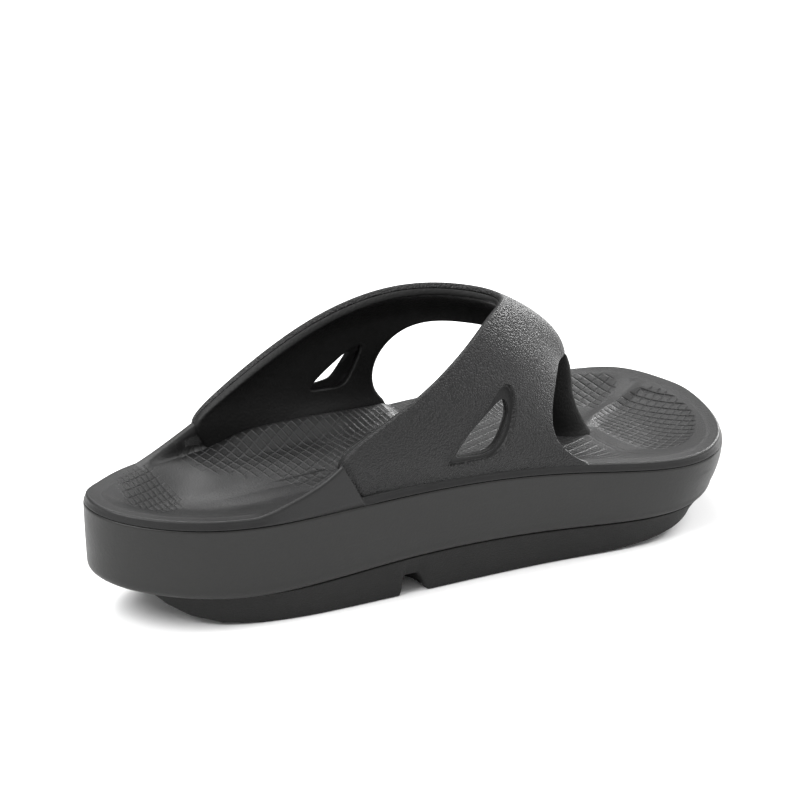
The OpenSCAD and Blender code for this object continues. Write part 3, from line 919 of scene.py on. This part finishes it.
def cut_vents(piece):
    for side, sign in (("outer", -1), ("inner", 1)):
        ring = outline_of(VENTS[piece.name][side])
        reach = [np.column_stack([ring[:, 0], np.full(len(ring), sign * y), ring[:, 1]]) for y in (18, 60)]
        block = tidy(skin(f"cutter_{side}", reach, ends="capped"))
        modifier = piece.modifiers.new("vent", "BOOLEAN")
        modifier.operation, modifier.solver, modifier.object = "DIFFERENCE", "EXACT", block
        apply_modifiers(piece)
        bpy.data.objects.remove(block)
    return piece


# %% Build the skin and the lining
# Width of the painted shadow line along the strap's joint with the outer root.
JOINT_SHADOW_WIDTH = 0.9


def frame_share(points):
    """How far each point of the skin belongs to a vent's smooth frame."""
    share = np.zeros(len(points))
    for side, sign in (("outer", -1), ("inner", 1)):
        away = distance_to(outline_of(FRAMES[side]), points[:, [0, 2]])
        share = np.maximum(share, (1 - step(-0.6, 0.0, away)) * (points[:, 1] * sign > 0))
    return share


def joint_shadow_share(points):
    """How near each point of the skin lies to its joint with the outer root, where a painted shadow line
    darkens it.
    """
    x, y, z = points.T
    joint_x = np.interp(z, [48, 65], [OUTER_LANDING[0], STRAP_REAR[0][0]]) + 0.5
    return np.exp(-(((x - joint_x) / JOINT_SHADOW_WIDTH) ** 2)) * (1 - step(64.5, 66, z)) * (y < -30)


skin_profile = layer_profile(0, SKIN_THICKNESS - 0.05, 1.0, 0.5, 130, 30)
strap_skin = tidy(skin("strap_face", sink_frames(layer_rows(skin_profile), skin_profile), ends="capped"))
cut_vents(strap_skin)
skin_points = mesh_points(strap_skin)
write_number(strap_skin, "vent_frame", frame_share(skin_points))
write_number(strap_skin, "painted_joint_shadow", joint_shadow_share(skin_points))
lining_profile = layer_profile(SKIN_THICKNESS + 0.05, SKIN_THICKNESS + LINING_THICKNESS, 0.5, 1.8, 30, 90)
lining = tidy(skin("strap_inner_foam", layer_rows(lining_profile), ends="capped"))
cut_vents(lining)
print(f"strap {len(strap_skin.data.polygons)} faces, lining {len(lining.data.polygons)}")

# %% [markdown]
# ## The toe post
# The post goes between the big toe and the next. It leans back from the footbed to the strap's underside,
# is longer fore and aft than it is wide so that it doesn't cut in, and spreads at both ends where it is
# bonded. It is a loft: a few ovals along a leaning path, and a smooth curve through them all.
# %% Build the post
POST = [  # centre, half length fore and aft, half width, lean of the oval in degrees
    ((74.8, 3.0, 28.0), 11.4, 8.6, 0), ((74.6, 3.0, 32.8), 10.2, 7.4, 0), ((73.6, 3.0, 36.4), 9.2, 6.0, 3),
    ((71.6, 3.0, 42.2), 8.5, 5.0, 8), ((69.6, 2.8, 48.5), 8.2, 4.5, 14), ((68.0, 2.2, 56.0), 8.0, 4.4, 22),
    ((67.0, 1.4, 64.2), 8.5, 5.0, 33), ((65.4, 0.6, 72.4), 9.4, 6.2, 42), ((63.4, 0.2, 77.6), 9.6, 7.6, 45)]


def post_rows():
    at = np.linspace(0, len(POST) - 1, 72)
    centre = smooth([p[0] for p in POST], at)
    sizes = smooth([p[1:] for p in POST], at)
    turn = np.linspace(0, 2 * math.pi, 64, endpoint=False)
    rows = []
    for c, (long, wide, lean) in zip(centre, sizes):
        lean = math.radians(lean)
        fore = long * np.cos(turn)
        rows.append(np.column_stack([c[0] + fore * math.cos(lean), c[1] + wide * np.sin(turn),
                                     c[2] - fore * math.sin(lean)]))
    return rows


toe_post = tidy(skin("toe_divider", post_rows(), ends="capped"))

# %% [markdown]
# ## Hand the pieces to the frame
# Each piece takes its finish, names the CAD solid that it stands for, and rides on the sandal's one body.
# %% Dress, ride and replace
PIECES = [(footbed, "footbed_foam", "footbed"), (midsole, "midsole_foam", "midsole"),
          (outsole, "outsole_rubber", "outsole"), (tread, "outsole_rubber", "outsole"),
          (strap_skin, "strap_skin", "strap"), (lining, "lining_foam", "strap_lining"),
          (toe_post, "lining_foam", "toe_post")]
for piece, finish, node in PIECES:
    piece.data.materials.clear()
    piece.data.materials.append(FINISHES[finish])
    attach(piece, "root")
    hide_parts(node)

# %% [markdown]
# ## Floor, light and camera
# A product of this colour is lit by large soft sources, or its shape drowns. One broad light hangs over
# the heel, one over the toe and one behind. A smaller, low one behind the toe grazes the top of the strap
# and shows its pebbling, and the pale floor and sky fill the rest.
# %% Stage
floor_size = 6.0
bpy.ops.mesh.primitive_plane_add(size=floor_size)
floor = bpy.context.object
floor.name = "floor"
floor_material = bpy.data.materials.new("floor_paper")
floor_material.use_nodes = True
floor_shader = floor_material.node_tree.nodes["Principled BSDF"]
floor_shader.inputs["Base Color"].default_value = (0.93, 0.93, 0.93, 1)
floor_shader.inputs["Roughness"].default_value = 0.9
floor.data.materials.append(floor_material)

AIM = Vector((0.0054, 0.0234, 0.0539))


def soft_light(name, azimuth, elevation, distance, size, power):
    lamp = bpy.data.lights.new(name, "AREA")
    lamp.shape, lamp.size, lamp.energy = "DISK", size, power
    light = bpy.data.objects.new(name, lamp)
    a, e = math.radians(azimuth), math.radians(elevation)
    away = Vector((math.sin(a) * math.cos(e), -math.cos(a) * math.cos(e), math.sin(e)))
    light.location = AIM + away * distance
    light.rotation_euler = away.to_track_quat("Z", "Y").to_euler()
    bpy.context.scene.collection.objects.link(light)


soft_light("key", -80, 50, 1.3, 0.8, 17)
soft_light("toe_light", 75, 45, 1.4, 0.8, 12)
soft_light("back_light", 168, 54, 1.5, 1.0, 15)
soft_light("crest_light", 122, 16, 1.5, 0.5, 12)
sky = bpy.data.worlds.new("studio")
sky.use_nodes = True
sky.node_tree.nodes["Background"].inputs["Color"].default_value = (1, 1, 1, 1)
sky.node_tree.nodes["Background"].inputs["Strength"].default_value = 0.62
bpy.context.scene.world = sky
bpy.context.scene.view_settings.view_transform = "Standard"

# %% Camera
AZIMUTH, ELEVATION, DISTANCE = math.radians(-27.1), math.radians(24.15), 1.18
camera = bpy.data.objects.new("camera", bpy.data.cameras.new("camera"))
camera.data.lens = 127.9
back = Vector((math.sin(AZIMUTH) * math.cos(ELEVATION), -math.cos(AZIMUTH) * math.cos(ELEVATION),
               math.sin(ELEVATION)))
camera.location = AIM + back * DISTANCE
camera.rotation_euler = back.to_track_quat("Z", "Y").to_euler()
bpy.context.scene.collection.objects.link(camera)
bpy.context.scene.camera = camera
